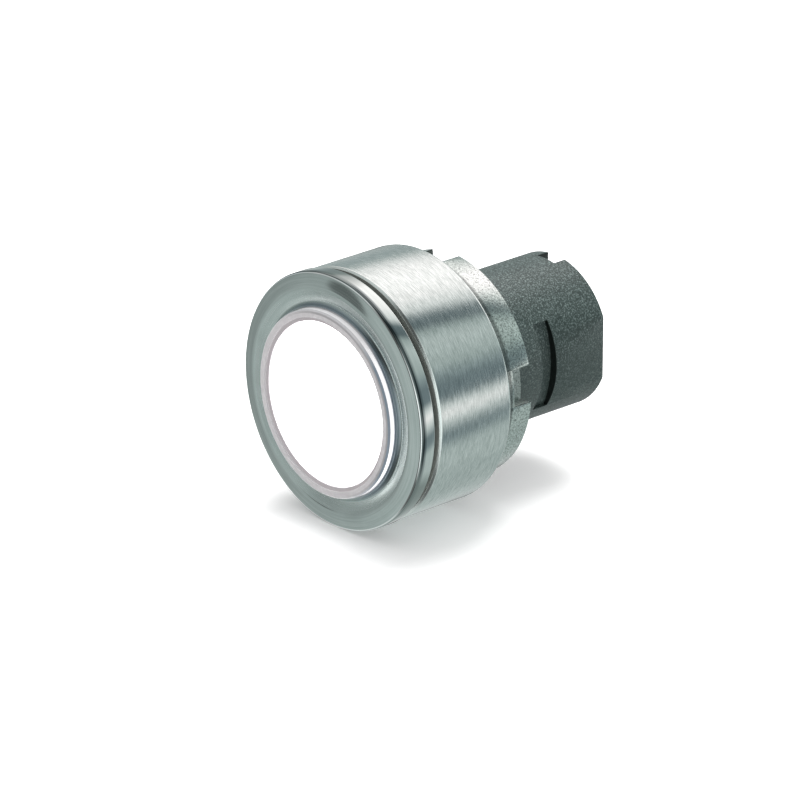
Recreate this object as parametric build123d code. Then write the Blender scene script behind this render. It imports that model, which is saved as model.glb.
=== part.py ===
from build123d import *
import math
import os

# Illuminated push-button head, flush type, for a round hole in a panel.
# It is put in from the front and drawn up from behind by a sleeve and a slotted ring nut.
# The axis of the button is Y. The front faces -Y, the spigot for the contact block points
# to +Y, and +Z is up. The origin is on the axis, in the plane of the panel's front face.
# All lengths are millimetres, and every radius is measured from the axis.

# Movement and fits
travel = 4.0                # stroke of the button from rest to its stop
stop_gap = 0.1              # air left at each end stop
button_clearance = 0.1      # lens and carrier in the bezel's bore
running_clearance = 0.05    # plunger in its two guides
seal_clearance = 0.03       # plunger in the lip of the wiper seal
seat_clearance = 0.05       # pieces that stay where they were put
thread_clearance = 0.05     # ring nut on the threaded neck

# Lit button, from the front to the rear
lens_radius = 13.1
lens_proud = 1.55           # front of the lens before the flange's front edge
lens_depth = 5.0
lens_front_wall = 0.65
lens_side_wall = 0.8
lens_edge = 0.3             # rounding of the front edge
carrier_rim = 0.75          # grey ring seen round the lit disc
carrier_base = 1.2
diffuser_thickness = 1.0
diffuser_ledge = 0.65
lens_seal_thickness = 0.6
socket_depth = 2.4          # how far the plunger sits in the carrier

# Bezel
lip_wall = 0.3              # thin raised lip round the lens
lip_rise = 0.55
lip_foot = 0.4              # radius of the hollow at the foot of the lip
ridge_inset = 2.2           # crest of the bezel's face, in from the flange's edge
ridge_rise = 0.45
dish_drop = 0.65
flange_overhang = 3.0
flange_rim = 2.33
rim_chamfer = 0.25
barrel_wall = 1.8
web_thickness = 1.6
web_clearance = 0.2

# Seals and guides round the plunger
seal_length = 1.7
seal_lip = 0.5
seal_section = 2.1
washer_thickness = 0.6
washer_bore_gap = 0.6
front_guide = 2.5
plunger_radius = 7.5
plunger_wall = 1.2
clip_thickness = 0.8
clip_groove = 0.4
clip_reach = 1.0
clip_opening = 4.0
seat_thickness = 0.8
spring_space = 1.3          # between the plunger and the body's bore
spring_length = 13.4
spring_wire = 0.7
spring_turns = 5
bush_length = 3.0
bush_clip_groove = 0.8
leg_clearance = 1.2         # from the bush's retaining ring to the legs at rest
leg_wall = 2.0
leg_width = 7.0
leg_recess = 1.0            # legs end inside the body at rest

# Threaded neck, ring nut and clamping sleeve
neck_wall = 1.36
neck_show = 1.42            # thread left behind the nut
panel_gap = 1.09            # room for the panel between flange and sleeve
sleeve_chamber = 1.0
sleeve_wall = 1.85
sleeve_length = 12.84
sleeve_web = 2.2
sleeve_edge = 0.3
nut_length = 5.52
nut_web = 1.1
slot_depth = 2.12
slot_width = 5.25
slot_length = 3.1
slot_count = 4
slot_turn = 5.3             # degrees from +X towards +Z

# Panel gasket in the flange's rear face
gasket_inset = 0.6
gasket_width = 1.6
gasket_thickness = 0.9
gasket_recess = 0.6

# Rear body with the bayonet spigot
body_wall = 2.04
shank_step = 0.2            # the body is this much larger where it sits in the neck
spigot_length = 17.45
groove_to_end = 9.65
groove_width = 2.6
groove_depth = 1.2
groove_half_angle = 35.0
lead_in_depth = 1.02
lead_in_slope = 0.13
notch_width = 3.4
notch_depth = 2.1
notch_offset = 0.4
end_bevel = 0.15
seal_groove_depth = 0.9
seal_groove_width = 1.2
seal_groove_inset = 2.2
retainer_inset = 6.6
retainer_thickness = 1.0
retainer_bite = 0.55
retainer_opening = 5.0
pin_radius = 0.5
pin_bite = 1.2

# Radii that follow, from the plunger outwards
light_way_radius = plunger_radius - plunger_wall
guide_radius = plunger_radius + running_clearance
web_radius = plunger_radius + web_clearance
seal_radius = plunger_radius + seal_clearance
body_bore_radius = plunger_radius + spring_space
spigot_radius = body_bore_radius + body_wall
shank_radius = spigot_radius + shank_step
body_seat_radius = shank_radius + seat_clearance
neck_radius = body_seat_radius + neck_wall
nut_bore_radius = neck_radius + thread_clearance
slot_floor_radius = nut_bore_radius + nut_web
nut_radius = slot_floor_radius + slot_depth
button_bore_radius = lens_radius + button_clearance
barrel_radius = button_bore_radius + barrel_wall
flange_radius = barrel_radius + flange_overhang
lip_radius = button_bore_radius + lip_wall
foot_radius = lip_radius + lip_foot
ridge_radius = flange_radius - ridge_inset
carrier_radius = lens_radius - lens_side_wall - seat_clearance
diffuser_radius = carrier_radius - carrier_rim - seat_clearance
sleeve_bore_radius = barrel_radius + sleeve_chamber
sleeve_radius = sleeve_bore_radius + sleeve_wall
gasket_inner_radius = barrel_radius + gasket_inset
gasket_outer_radius = gasket_inner_radius + gasket_width
seal_pocket_radius = plunger_radius + seal_section

# Places along the axis that follow, from the front to the rear
front_edge_y = -flange_rim
ridge_y = front_edge_y - ridge_rise
foot_y = ridge_y + dish_drop
lip_y = foot_y - lip_rise
lens_front_y = front_edge_y - lens_proud
lens_inner_y = lens_front_y + lens_front_wall
lens_rear_y = lens_front_y + lens_depth
diffuser_rear_y = lens_inner_y + diffuser_thickness
carrier_base_y = lens_rear_y + lens_seal_thickness
carrier_rear_y = carrier_base_y + carrier_base
plunger_front_y = carrier_rear_y - socket_depth
web_front_y = carrier_rear_y + travel + stop_gap
web_rear_y = web_front_y + web_thickness
seal_rear_y = web_rear_y + seal_length
body_front_y = seal_rear_y + washer_thickness
guide_rear_y = body_front_y + front_guide
clip_front_y = guide_rear_y + stop_gap
clip_rear_y = clip_front_y + clip_thickness
spring_front_y = clip_rear_y + seat_thickness
spring_rear_y = spring_front_y + spring_length
bush_rear_y = spring_rear_y + bush_length
bush_clip_rear_y = bush_rear_y + clip_thickness
sleeve_front_y = panel_gap
sleeve_rear_y = sleeve_front_y + sleeve_length
nut_rear_y = sleeve_rear_y + nut_length
neck_end_y = nut_rear_y + neck_show
body_rear_y = neck_end_y + spigot_length
groove_rear_y = body_rear_y - groove_to_end
groove_front_y = groove_rear_y - groove_width
leg_rear_y = body_rear_y - leg_recess
leg_front_y = bush_clip_rear_y + leg_clearance
seal_groove_y = body_front_y + seal_groove_inset
retainer_y = body_front_y + retainer_inset
pin_radius_from_axis = (seal_pocket_radius + shank_radius) / 2

AXIS = Axis.Y
ALONG_AXIS = Rot(X=-90)
SPARE = 1.0


def turned(*outline):
    """A piece of revolution from its half section, as (radius, y) points."""
    return revolve(make_face(Polyline(*outline, close=True)), axis=AXIS)


def ring(inner, outer, front, rear):
    """A plain ring of rectangular section."""
    return turned((inner, front), (outer, front), (outer, rear), (inner, rear))


def disc(radius, front, rear):
    """A plain round disc or rod on the axis."""
    return Pos(Y=front) * ALONG_AXIS * Cylinder(
        radius, rear - front, align=(Align.CENTER, Align.CENTER, Align.MIN)
    )


def block(low_x, high_x, front, rear, half_height):
    """A box that is centred in height and given by its sides."""
    return Pos((low_x + high_x) / 2, (front + rear) / 2, 0) * Box(
        high_x - low_x, rear - front, 2 * half_height
    )


def turned_to(degrees, shape):
    """Turns a shape about the axis, from +X towards +Z."""
    return Rot(Y=-degrees) * shape


def open_ring(whole, opening, at_degrees):
    """Cuts the gap that lets a retaining ring spring open."""
    reach = flange_radius
    gap = block(0, reach, lens_front_y, body_rear_y, opening / 2)
    return whole - turned_to(at_degrees, gap)


def make_bezel():
    """Flange, raised lip, barrel, inner web and threaded neck, one turned casting."""
    outline = [
        (button_bore_radius, lip_y),
        (lip_radius, lip_y),
        (lip_radius, foot_y - lip_foot),
        (foot_radius, foot_y),
        (ridge_radius, ridge_y),
        (flange_radius - rim_chamfer, front_edge_y - rim_chamfer * ridge_rise / ridge_inset),
        (flange_radius, front_edge_y + rim_chamfer),
        (flange_radius, 0),
        (gasket_outer_radius + seat_clearance, 0),
        (gasket_outer_radius + seat_clearance, -gasket_recess),
        (gasket_inner_radius - seat_clearance, -gasket_recess),
        (gasket_inner_radius - seat_clearance, 0),
        (barrel_radius, 0),
        (barrel_radius, web_rear_y),
        (neck_radius, web_rear_y),
        (neck_radius, neck_end_y),
        (body_seat_radius, neck_end_y),
        (body_seat_radius, body_front_y),
        (seal_pocket_radius, body_front_y),
        (seal_pocket_radius, web_rear_y),
        (web_radius, web_rear_y),
        (web_radius, web_front_y),
        (button_bore_radius, web_front_y),
    ]
    casting = turned(*outline)
    retainer_groove = ring(
        body_seat_radius - SPARE,
        shank_radius + retainer_bite,
        retainer_y,
        retainer_y + retainer_thickness,
    )
    return casting - retainer_groove - index_pin_rod()


def make_panel_gasket():
    """Flat rubber ring that seals on the panel's front face."""
    return ring(
        gasket_inner_radius,
        gasket_outer_radius,
        -gasket_recess,
        gasket_thickness - gasket_recess,
    )


def make_clamp_sleeve():
    """Brushed cup that reaches over the barrel and presses on the panel from behind."""
    return turned(
        (sleeve_bore_radius, sleeve_front_y),
        (sleeve_radius - sleeve_edge, sleeve_front_y),
        (sleeve_radius, sleeve_front_y + sleeve_edge),
        (sleeve_radius, sleeve_rear_y - sleeve_edge),
        (sleeve_radius - sleeve_edge, sleeve_rear_y),
        (nut_bore_radius, sleeve_rear_y),
        (nut_bore_radius, sleeve_rear_y - sleeve_web),
        (sleeve_bore_radius, sleeve_rear_y - sleeve_web),
    )


def make_ring_nut():
    """Cast nut with spanner slots that open to the rear."""
    nut = ring(nut_bore_radius, nut_radius, sleeve_rear_y, nut_rear_y)
    cutter = block(
        0, nut_radius + SPARE, nut_rear_y - slot_length, nut_rear_y + SPARE, slot_width / 2
    )
    cutter -= disc(slot_floor_radius, sleeve_rear_y, nut_rear_y + 2 * SPARE)
    for number in range(slot_count):
        nut -= turned_to(slot_turn + number * 360 / slot_count, cutter)
    return nut


def crescent_groove():
    """The latch groove on the +X side: a shallow arc that is deepest in its middle."""
    half_angle = math.radians(groove_half_angle)
    half_chord = spigot_radius * math.sin(half_angle)
    floor_x = spigot_radius - groove_depth
    rise = floor_x - spigot_radius * math.cos(half_angle)
    floor_radius = (half_chord**2 + rise**2) / (2 * rise)
    floor = Pos(X=floor_x - floor_radius) * disc(
        floor_radius, groove_front_y - SPARE, groove_rear_y + SPARE
    )
    slab = block(0, spigot_radius + SPARE, groove_front_y, groove_rear_y, half_chord)
    return slab - floor


def lead_in():
    """The slanted flat on the +X side that leads the contact block's collar on."""
    outer_x = spigot_radius + SPARE
    end_x = spigot_radius - lead_in_depth
    start_y = body_rear_y - (outer_x - end_x) / lead_in_slope
    wedge = make_face(
        Polyline(
            (end_x, body_rear_y),
            (outer_x, start_y),
            (outer_x, body_rear_y + SPARE),
            (end_x, body_rear_y + SPARE),
            close=True,
        )
    )
    return extrude(wedge, amount=spigot_radius, both=True)


def make_rear_body():
    """Moulded tube that guides the plunger, with the bayonet spigot behind the neck."""
    tube = turned(
        (guide_radius, body_front_y),
        (shank_radius, body_front_y),
        (shank_radius, neck_end_y),
        (spigot_radius, neck_end_y),
        (spigot_radius, body_rear_y - end_bevel),
        (spigot_radius - end_bevel, body_rear_y),
        (body_bore_radius, body_rear_y),
        (body_bore_radius, guide_rear_y),
        (guide_radius, guide_rear_y),
    )
    for mirrored in (0, 180):
        tube -= turned_to(mirrored, crescent_groove())
        tube -= turned_to(mirrored, lead_in())
    notch = Pos(X=notch_offset, Z=spigot_radius) * block(
        -notch_width / 2,
        notch_width / 2,
        body_rear_y - notch_depth,
        body_rear_y + SPARE,
        body_wall + SPARE,
    )
    seal_groove = ring(
        shank_radius - seal_groove_depth,
        shank_radius + SPARE,
        seal_groove_y,
        seal_groove_y + seal_groove_width,
    )
    retainer_groove = ring(
        shank_radius - retainer_bite,
        shank_radius + SPARE,
        retainer_y,
        retainer_y + retainer_thickness,
    )
    bush_clip_seat = ring(
        body_bore_radius - SPARE,
        body_bore_radius + bush_clip_groove,
        bush_rear_y,
        bush_clip_rear_y,
    )
    return tube - notch - seal_groove - retainer_groove - bush_clip_seat - index_pin_rod()


def make_body_seal():
    """Rubber ring between the body and the neck's bore."""
    return ring(
        shank_radius - seal_groove_depth,
        body_seat_radius,
        seal_groove_y,
        seal_groove_y + seal_groove_width,
    )


def make_body_retainer():
    """Spring ring that locks the body in the neck, half in each."""
    whole = ring(
        shank_radius - retainer_bite,
        shank_radius + retainer_bite,
        retainer_y,
        retainer_y + retainer_thickness,
    )
    return open_ring(whole, retainer_opening, 270)


def index_pin_rod():
    """The space of the dowel between the bezel's shoulder and the body's front end."""
    rod = disc(pin_radius, body_front_y - pin_bite, body_front_y + pin_bite)
    return turned_to(90, Pos(X=pin_radius_from_axis) * rod)


def make_wiper_seal():
    """Rubber seal whose lip wipes the plunger."""
    return turned(
        (seal_radius, web_rear_y + seal_lip),
        (web_radius + seal_lip, web_rear_y),
        (seal_pocket_radius, web_rear_y),
        (seal_pocket_radius, seal_rear_y),
        (web_radius + seal_lip, seal_rear_y),
        (seal_radius, seal_rear_y - seal_lip),
    )


def make_seal_washer():
    """Flat washer between the wiper seal and the body."""
    return ring(
        plunger_radius + washer_bore_gap,
        seal_pocket_radius - seat_clearance,
        seal_rear_y,
        body_front_y,
    )


def make_guide_bush():
    """Rear guide of the plunger, which the spring rests on."""
    return ring(
        guide_radius, body_bore_radius - seat_clearance, spring_rear_y, bush_rear_y
    )


def make_bush_clip():
    """Retaining ring behind the guide bush."""
    whole = ring(
        body_bore_radius - bush_clip_groove,
        body_bore_radius + bush_clip_groove,
        bush_rear_y,
        bush_clip_rear_y,
    )
    return open_ring(whole, clip_opening, 90)


def make_lens_cap():
    """Clear cap of the button, open to the rear."""
    return turned(
        (0, lens_front_y),
        (lens_radius - lens_edge, lens_front_y),
        (lens_radius, lens_front_y + lens_edge),
        (lens_radius, lens_rear_y),
        (lens_radius - lens_side_wall, lens_rear_y),
        (lens_radius - lens_side_wall, lens_inner_y),
        (0, lens_inner_y),
    )


def make_diffuser():
    """White disc that spreads the light behind the clear cap."""
    return disc(diffuser_radius, lens_inner_y, diffuser_rear_y)


def make_lens_seal():
    """Rubber ring between the cap's skirt and the carrier's base."""
    return ring(carrier_radius, lens_radius, lens_rear_y, carrier_base_y)


def make_lens_carrier():
    """Funnel that holds cap and diffuser and leads the light forward to them."""
    ledge_radius = diffuser_radius - diffuser_ledge
    return turned(
        (diffuser_radius + seat_clearance, lens_inner_y),
        (carrier_radius, lens_inner_y),
        (carrier_radius, carrier_base_y),
        (lens_radius, carrier_base_y),
        (lens_radius, carrier_rear_y),
        (plunger_radius, carrier_rear_y),
        (plunger_radius, plunger_front_y),
        (light_way_radius, plunger_front_y),
        (ledge_radius, diffuser_rear_y),
        (diffuser_radius + seat_clearance, diffuser_rear_y),
    )


def make_plunger():
    """Tube that carries the light forward and the push back to the contact blocks."""
    tube = ring(light_way_radius, plunger_radius, plunger_front_y, leg_front_y)
    tube -= ring(
        plunger_radius - clip_groove, plunger_radius + SPARE, clip_front_y, clip_rear_y
    )
    sector = ring(light_way_radius, light_way_radius + leg_wall, leg_front_y, leg_rear_y)
    for side in (0, 180):
        keep = block(0, flange_radius, leg_front_y, leg_rear_y, leg_width / 2)
        tube += sector & turned_to(side, keep)
    return tube


def make_plunger_clip():
    """Retaining ring on the plunger, its stop at rest."""
    whole = ring(
        plunger_radius - clip_groove, plunger_radius + clip_reach, clip_front_y, clip_rear_y
    )
    return open_ring(whole, clip_opening, 90)


def make_spring_seat():
    """Washer between the retaining ring and the spring."""
    return ring(
        plunger_radius + seat_clearance,
        plunger_radius + clip_reach,
        clip_rear_y,
        spring_front_y,
    )


def make_return_spring():
    """Compression spring round the plunger."""
    coil_radius = plunger_radius + spring_space / 2
    coil_length = spring_length - spring_wire
    path = Rot(X=-90) * Helix(coil_length / spring_turns, coil_length, coil_radius)
    start = Pos(X=coil_radius) * Rectangle(spring_wire, spring_wire)
    coil = sweep(start, path=path, is_frenet=True)
    return Pos(Y=spring_front_y + spring_wire / 2) * coil


PIECES = {
    "bezel": make_bezel,
    "panel_gasket": make_panel_gasket,
    "clamp_sleeve": make_clamp_sleeve,
    "ring_nut": make_ring_nut,
    "rear_body": make_rear_body,
    "body_seal": make_body_seal,
    "body_retainer": make_body_retainer,
    "index_pin": index_pin_rod,
    "wiper_seal": make_wiper_seal,
    "seal_washer": make_seal_washer,
    "guide_bush": make_guide_bush,
    "bush_clip": make_bush_clip,
    "lens_cap": make_lens_cap,
    "diffuser": make_diffuser,
    "lens_seal": make_lens_seal,
    "lens_carrier": make_lens_carrier,
    "plunger": make_plunger,
    "plunger_clip": make_plunger_clip,
    "spring_seat": make_spring_seat,
    "return_spring": make_return_spring,
}

os.makedirs("parts", exist_ok=True)
for name, make in PIECES.items():
    export_step(make(), f"parts/{name}.step")
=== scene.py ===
"""Finishes the illuminated push-button head: its fine pieces, their surfaces and a small studio.

The axis of the button is Y. The front faces -Y, the spigot points to +Y, and +Z is up.
Every length is in metres, and MM turns millimetres into them.
"""

import math

import bmesh
import bpy
from bpy.props import FloatProperty, FloatVectorProperty, IntProperty, PointerProperty
from mathutils import Matrix, Vector


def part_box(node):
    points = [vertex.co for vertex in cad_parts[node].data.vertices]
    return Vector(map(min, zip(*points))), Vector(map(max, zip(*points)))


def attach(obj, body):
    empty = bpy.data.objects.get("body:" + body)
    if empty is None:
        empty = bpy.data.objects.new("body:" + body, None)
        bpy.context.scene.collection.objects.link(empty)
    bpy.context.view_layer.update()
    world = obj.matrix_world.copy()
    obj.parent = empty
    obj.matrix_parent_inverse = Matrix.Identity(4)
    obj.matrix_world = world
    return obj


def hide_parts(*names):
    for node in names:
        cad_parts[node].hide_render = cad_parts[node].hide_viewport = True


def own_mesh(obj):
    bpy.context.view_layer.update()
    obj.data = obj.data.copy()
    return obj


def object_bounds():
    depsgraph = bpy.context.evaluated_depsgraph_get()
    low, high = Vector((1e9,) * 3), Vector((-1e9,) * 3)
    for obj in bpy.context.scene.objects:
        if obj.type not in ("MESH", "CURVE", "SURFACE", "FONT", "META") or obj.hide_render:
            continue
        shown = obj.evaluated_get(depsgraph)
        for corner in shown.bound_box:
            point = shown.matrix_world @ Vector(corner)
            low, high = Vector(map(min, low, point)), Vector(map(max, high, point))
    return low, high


bl_info = {
    "name": "Push-button head",
    "version": (1, 0, 0),
    "blender": (4, 5, 0),
    "location": "3D View > Sidebar > Push button",
    "description": "Builds the pieces, the finishes and the stage of an illuminated push-button head",
    "category": "Add Mesh",
}

MM = 0.001
WHOLE_TURN = 2 * math.pi
SPARE = 1 * MM
EDGE = 0.1 * MM
LARGE_STEPS = 240
MEDIUM_STEPS = 200
SMALL_STEPS = 160
THREAD_STEPS = 120
CLIP_STEPS = 120
COIL_STEPS = 72
PIN_STEPS = 32
WIRE_STEPS = 16

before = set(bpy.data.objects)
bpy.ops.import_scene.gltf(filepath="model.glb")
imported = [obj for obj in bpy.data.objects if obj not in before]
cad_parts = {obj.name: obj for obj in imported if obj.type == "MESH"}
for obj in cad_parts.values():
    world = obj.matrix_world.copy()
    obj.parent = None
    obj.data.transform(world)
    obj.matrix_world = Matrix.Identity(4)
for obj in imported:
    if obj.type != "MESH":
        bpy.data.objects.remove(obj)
CAD_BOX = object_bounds()


def front(node):
    """The place along the axis where a node starts."""
    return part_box(node)[0].y


def rear(node):
    """The place along the axis where a node ends."""
    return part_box(node)[1].y


def reach(node):
    """The outer radius of a round node."""
    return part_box(node)[1].x


def extent(node):
    """Front, rear and largest distance from the axis of a node."""
    return front(node), rear(node), reach(node)


def length(name, description, millimetres):
    """A length that the add-on's user can change."""
    return FloatProperty(
        name=name, description=description, default=millimetres * MM, unit="LENGTH", precision=5
    )


def angle(name, description, degrees):
    """An angle that the add-on's user can change."""
    return FloatProperty(
        name=name, description=description, default=math.radians(degrees), subtype="ANGLE"
    )


def colour(name, description, light):
    """A colour that the add-on's user can change, as linear light."""
    return FloatVectorProperty(name=name, description=description, default=light, subtype="COLOR")


class HeadSizes(bpy.types.PropertyGroup):
    """Sizes of the pieces that the frame's boxes don't give."""

    steps: IntProperty(
        name="Steps",
        description="Flat steps round a large turned piece",
        default=LARGE_STEPS,
        min=48,
        max=360,
    )
    button_bore: length("Button bore", "Radius of the bore that the button slides in", 13.2)
    lip_wall: length("Lip wall", "Thickness of the raised lip round the lens", 0.3)
    lip_rise: length("Lip rise", "Height of the lip over the foot of the face", 0.55)
    lip_foot: length("Lip foot", "Slanted hollow at the foot of the lip", 0.4)
    ridge_inset: length("Ridge inset", "Crest of the face, in from the flange's edge", 2.2)
    ridge_rise: length("Ridge rise", "Height of the crest over the flange's front edge", 0.45)
    dish_drop: length("Dish drop", "Fall of the face from the crest to the lip", 0.65)
    barrel: length("Barrel", "Radius of the barrel behind the flange", 15.0)
    neck: length("Neck", "Outer radius of the neck's thread", 12.45)
    thread_pitch: length("Thread pitch", "Advance of the neck's thread in one turn", 0.75)
    thread_depth: length("Thread depth", "Depth of the neck's thread", 0.4)
    body_seat: length("Body seat", "Radius of the neck's bore, which holds the rear body", 11.09)
    web_bore: length("Web bore", "Radius of the hole in the bezel's inner web", 7.7)
    web_thickness: length("Web thickness", "Thickness of the bezel's inner web", 1.6)
    seal_pocket: length("Seal pocket", "Radius of the pocket of the wiper seal", 9.6)
    seat_gap: length("Seat gap", "Air round a piece that stays where it was put", 0.05)
    gasket_recess: length("Gasket recess", "Depth of the gasket's groove in the flange", 0.6)
    gasket_width: length("Gasket width", "Radial width of the gasket", 1.6)
    sleeve_bore: length("Sleeve bore", "Inner radius of the clamping sleeve", 16.0)
    sleeve_web: length("Sleeve web", "Thickness of the sleeve's rear wall", 2.2)
    sleeve_edge: length("Sleeve edge", "Bevel at both ends of the sleeve", 0.3)
    sleeve_round: length("Sleeve rounding", "Rounding of the sleeve's rear edge", 0.5)
    nut_bore: length("Nut bore", "Radius of the ring nut's bore", 12.5)
    slot_floor: length("Slot floor", "Radius of the floor of the nut's slots", 13.6)
    slot_width: length("Slot width", "Width of the nut's spanner slots", 5.25)
    slot_length: length("Slot length", "Length of the slots along the axis", 3.1)
    slot_turn: angle("Slot turn", "Turn of the first slot from +X towards +Z", 5.3)
    slot_count: IntProperty(
        name="Slots", description="Number of spanner slots", default=4, min=2, max=8
    )
    spigot: length("Spigot", "Radius of the rear spigot", 10.84)
    body_bore: length("Body bore", "Radius of the rear body's bore", 8.8)
    guide_bore: length("Guide bore", "Radius of the plunger's two guides", 7.55)
    front_guide: length("Front guide", "Length of the guide at the body's front", 2.5)
    groove_to_end: length("Groove to end", "From the latch groove's rear wall to the spigot's end", 9.65)
    groove_width: length("Groove width", "Width of the latch groove along the axis", 2.6)
    groove_depth: length("Groove depth", "Depth of the latch groove in its middle", 1.2)
    groove_floor: length("Groove floor", "Radius of the latch groove's rounded floor", 15.0)
    groove_half_angle: angle("Groove half angle", "Half the angle that the latch groove spans", 35)
    lead_in_depth: length("Lead-in depth", "Depth of the slanted flat at the spigot's end", 1.02)
    lead_in_slope: FloatProperty(
        name="Lead-in slope", description="Fall of the slanted flat for its length", default=0.13
    )
    notch_width: length("Notch width", "Width of the index notch", 3.4)
    notch_depth: length("Notch depth", "Depth of the index notch along the axis", 2.1)
    notch_offset: length("Notch offset", "Index notch, beside the top of the spigot", 0.4)
    lens_wall: length("Lens wall", "Thickness of the clear cap's side wall", 0.8)
    lens_front_wall: length("Lens front wall", "Thickness of the clear cap's front", 0.65)
    lens_edge: length("Lens edge", "Rounding of the clear cap's front edge", 0.3)
    carrier_base: length("Carrier base", "Thickness of the carrier's base plate", 1.2)
    carrier_skirt: length("Carrier skirt", "Outer radius of the carrier inside the cap", 12.25)
    diffuser_ledge: length("Diffuser ledge", "Width of the ledge that holds the diffuser", 0.65)
    plunger: length("Plunger", "Outer radius of the plunger's tube", 7.5)
    light_way: length("Light way", "Inner radius of the plunger's tube", 6.3)
    clip_groove: length("Clip groove", "Depth of the retaining ring's groove in the plunger", 0.4)
    leg_width: length("Leg width", "Width of the plunger's two legs", 7.0)
    spring_wire: length("Spring wire", "Thickness of the return spring's wire", 0.7)
    spring_turns: IntProperty(
        name="Spring turns", description="Turns of the return spring", default=5, min=2, max=12
    )


class Finishes(bpy.types.PropertyGroup):
    """Colours of the surfaces, as linear light."""

    metal: colour("Metal", "Grey-green tone of the plated zinc", (0.53, 0.61, 0.585))
    metal_worn: colour("Metal lines", "Lighter tone in the tool and brush lines", (0.66, 0.735, 0.71))
    brushed: colour("Brushed metal", "Tone between the sleeve's brush lines", (0.40, 0.465, 0.445))
    brushed_lines: colour("Brush lines", "Lighter tone in the sleeve's brush lines", (0.70, 0.78, 0.755))
    cast: colour("Cast metal", "Tone of the rough cast nut", (0.31, 0.375, 0.35))
    cast_grain: colour("Cast grain", "Paler grain in the cast nut", (0.63, 0.73, 0.69))
    plastic: colour("Plastic", "Dark grey-green of the rear body", (0.019, 0.031, 0.028))
    plastic_fleck: colour("Plastic flecks", "Lighter fibres in the rear body", (0.165, 0.215, 0.205))
    rubber: colour("Rubber", "Black of the seals and the gasket", (0.075, 0.085, 0.075))
    steel: colour("Spring steel", "Tone of the spring, the clips and the pin", (0.43, 0.43, 0.42))
    white: colour("White plastic", "Tone of the plunger and its guide", (0.78, 0.78, 0.75))
    carrier: colour("Carrier", "Pale warm grey of the ring round the lit disc", (0.60, 0.575, 0.585))
    lamp: colour("Lamp", "Light of the lit disc", (1.0, 1.0, 1.0))
    lamp_strength: FloatProperty(
        name="Lamp strength", description="Strength of the lit disc", default=1.6, min=0.0
    )


class StageSettings(bpy.types.PropertyGroup):
    """Where the camera stands."""

    azimuth: angle("Azimuth", "Turn of the camera round the object", 48.88)
    elevation: angle("Elevation", "Camera above the horizon", 22.27)
    distance: FloatProperty(
        name="Distance", description="From the camera to the middle of the flange",
        default=828 * MM, unit="LENGTH",
    )
    aim_right: length("Aim right", "The camera looks this far to the right of the flange's middle", 9.09)
    aim_up: length("Aim up", "The camera looks this far above the flange's middle", 0.21)
    focal_length: FloatProperty(
        name="Focal length", description="Focal length of the camera in millimetres", default=278.7
    )


def sizes():
    """The sizes that the add-on's user has set."""
    return bpy.context.scene.head_sizes


def finishes():
    """The colours that the add-on's user has set."""
    return bpy.context.scene.head_finishes


class NodeTree:
    """Adds and joins the nodes of one material or world."""

    def __init__(self, tree):
        self.tree = tree
        tree.nodes.clear()

    def add(self, kind, inputs=(), **settings):
        """A new node with its properties set and its inputs fed, by their names or in order."""
        node = self.tree.nodes.new(kind)
        for name, value in settings.items():
            setattr(node, name, value)
        for key, value in inputs.items() if isinstance(inputs, dict) else enumerate(inputs):
            self.feed(node.inputs[key], value)
        return node

    def feed(self, socket, value):
        """Sets a socket to a plain value, or joins it to another node's output."""
        if isinstance(value, bpy.types.NodeSocket):
            self.tree.links.new(value, socket)
        else:
            socket.default_value = value

    def maths(self, operation, *values):
        """One step of arithmetic."""
        return self.add("ShaderNodeMath", values, operation=operation).outputs[0]

    def product(self, first, *others):
        """All the values multiplied."""
        for other in others:
            first = self.maths("MULTIPLY", first, other)
        return first

    def mixture(self, first, share, second):
        """This share of the first number, and the second one for the rest."""
        return self.maths("MULTIPLY_ADD", first, share, self.product(second, 1 - share))

    def vector(self, x, y, z):
        """Three numbers as one vector."""
        return self.add("ShaderNodeCombineXYZ", (x, y, z)).outputs[0]

    def parts(self, vector):
        """The three numbers of a vector."""
        return self.add("ShaderNodeSeparateXYZ", (vector,)).outputs[:]

    def coordinate(self, name):
        """The place on the object, its normal, or a direction in the world."""
        return self.add("ShaderNodeTexCoord").outputs[name]

    def noise(self, place, scale, detail=2.0, roughness=0.5):
        """A soft random pattern, about 0 to 1."""
        inputs = {"Vector": place, "Scale": scale, "Detail": detail, "Roughness": roughness}
        return self.add("ShaderNodeTexNoise", inputs).outputs["Fac"]

    def spread(self, value, low, high, to_low=0.0, to_high=1.0):
        """Stretches a range of values to another one, and clamps it."""
        return self.add("ShaderNodeMapRange", (value, low, high, to_low, to_high)).outputs["Result"]

    def swing(self, noise, to_low, to_high):
        """Stretches the usual swing of a noise to these values."""
        return self.spread(noise, 0.3, 0.7, to_low, to_high)

    def band(self, value, start, full, fade, end):
        """1 between full and fade, and 0 before the start and past the end."""
        return self.product(self.spread(value, start, full), self.spread(value, end, fade))

    def blend(self, share, first, second, kind="MIX"):
        """Mixes two colours."""
        node = self.add("ShaderNodeMix", {"Factor": share}, data_type="RGBA", blend_type=kind)
        colours = [socket for socket in node.inputs if socket.type == "RGBA"]
        for socket, value in zip(colours, (first, second)):
            self.feed(socket, value if isinstance(value, bpy.types.NodeSocket) else (*value, 1))
        return next(socket for socket in node.outputs if socket.type == "RGBA")

    def shaded(self, tone, level):
        """A tone made darker or lighter by a plain number."""
        return self.blend(1.0, tone, self.vector(level, level, level), "MULTIPLY")

    def bump(self, height, depth, strength):
        """A surface normal from a height pattern of 0 to 1 that is this deep."""
        inputs = {"Height": height, "Distance": depth, "Strength": strength}
        return self.add("ShaderNodeBump", inputs).outputs["Normal"]


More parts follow.
